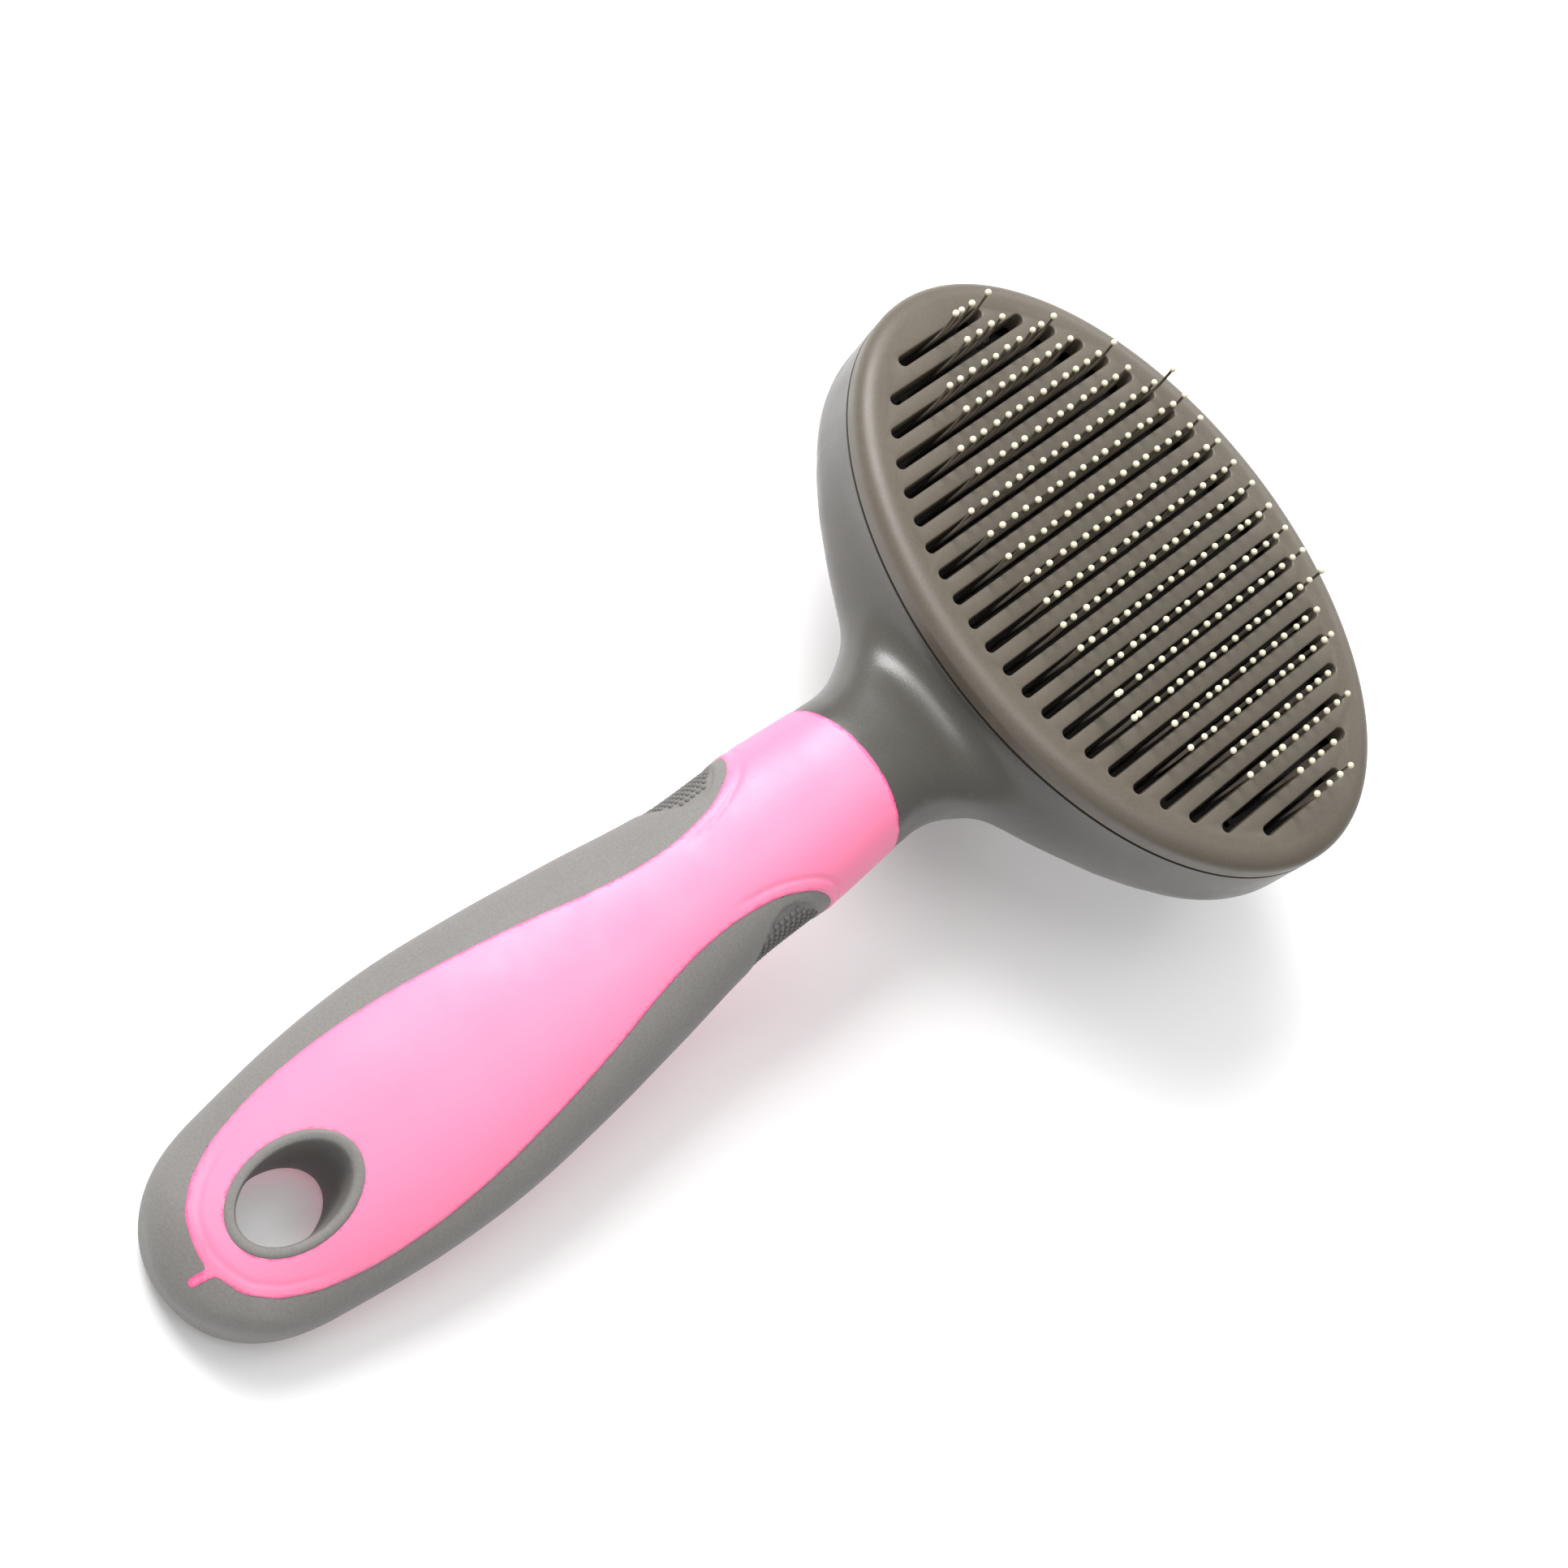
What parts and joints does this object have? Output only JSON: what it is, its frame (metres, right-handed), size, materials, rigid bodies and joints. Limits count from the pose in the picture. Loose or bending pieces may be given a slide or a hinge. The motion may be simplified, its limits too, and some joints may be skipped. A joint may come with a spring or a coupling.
{
  "type": "slicker brush",
  "caption": "Self-cleaning pet slicker brush: an oval head of bent wire pins behind a slotted plate that a sprung thumb button pushes out, on a soft two-colour handle.",
  "frame": {"origin": "under the middle of the brush, on the plane that the button's flat face and the end of the handle rest on", "axes": "+Z the way the pins point, +Y from the handle's end to the far side of the head, +X across the head"},
  "size_m": [0.1046, 0.2, 0.0625],
  "materials": {
    "head_plastic": "warm grey injection-moulded plastic, satin",
    "plate_plastic": "warm grey moulded plastic, satin, slightly darker",
    "inner_plastic": "unpolished grey plastic inside the head and handle",
    "sleeve_rubber": "bright pink overmoulded soft rubber, satin",
    "band_rubber": "mid-grey overmoulded soft rubber, fine matt",
    "wire_steel": "dark spring-steel wire with cream bead tips",
    "fastener_steel": "plain zinc-plated steel"
  },
  "bodies": {
    "brush": {"head_housing": "head_plastic", "handle_core": "inner_plastic", "pink_sleeve": "sleeve_rubber", "grip_band": "band_rubber", "hang_eyelet": "band_rubber", "pin_base": "inner_plastic", "pin_row_01": "wire_steel", "pin_row_02": "wire_steel", "pin_row_03": "wire_steel", "pin_row_04": "wire_steel", "pin_row_05": "wire_steel", "pin_row_06": "wire_steel", "pin_row_07": "wire_steel", "pin_row_08": "wire_steel", "pin_row_09": "wire_steel", "pin_row_10": "wire_steel", "pin_row_11": "wire_steel", "pin_row_12": "wire_steel", "pin_row_13": "wire_steel", "pin_row_14": "wire_steel", "pin_row_15": "wire_steel", "pin_row_16": "wire_steel", "pin_row_17": "wire_steel", "pin_row_18": "wire_steel", "pin_row_19": "wire_steel", "pin_row_20": "wire_steel", "pin_row_21": "wire_steel", "pin_row_22": "wire_steel", "base_screw_1": "fastener_steel", "base_screw_2": "fastener_steel", "base_screw_3": "fastener_steel", "base_screw_4": "fastener_steel", "return_spring": "fastener_steel"},
    "ejector": {"button_cap": "head_plastic", "plunger": "head_plastic", "pusher": "inner_plastic", "pusher_screw_1": "fastener_steel", "pusher_screw_2": "fastener_steel", "face_plate": "plate_plastic"}
  },
  "joints": [
    {"name": "button_press", "type": "slide", "parent": "brush", "child": "ejector", "axis": [0, 0, 1], "range_m": [0, 0.0085], "stiffness_N_per_m": 400, "springref_m": -0.01, "deforming": ["return_spring"]}
  ]
}
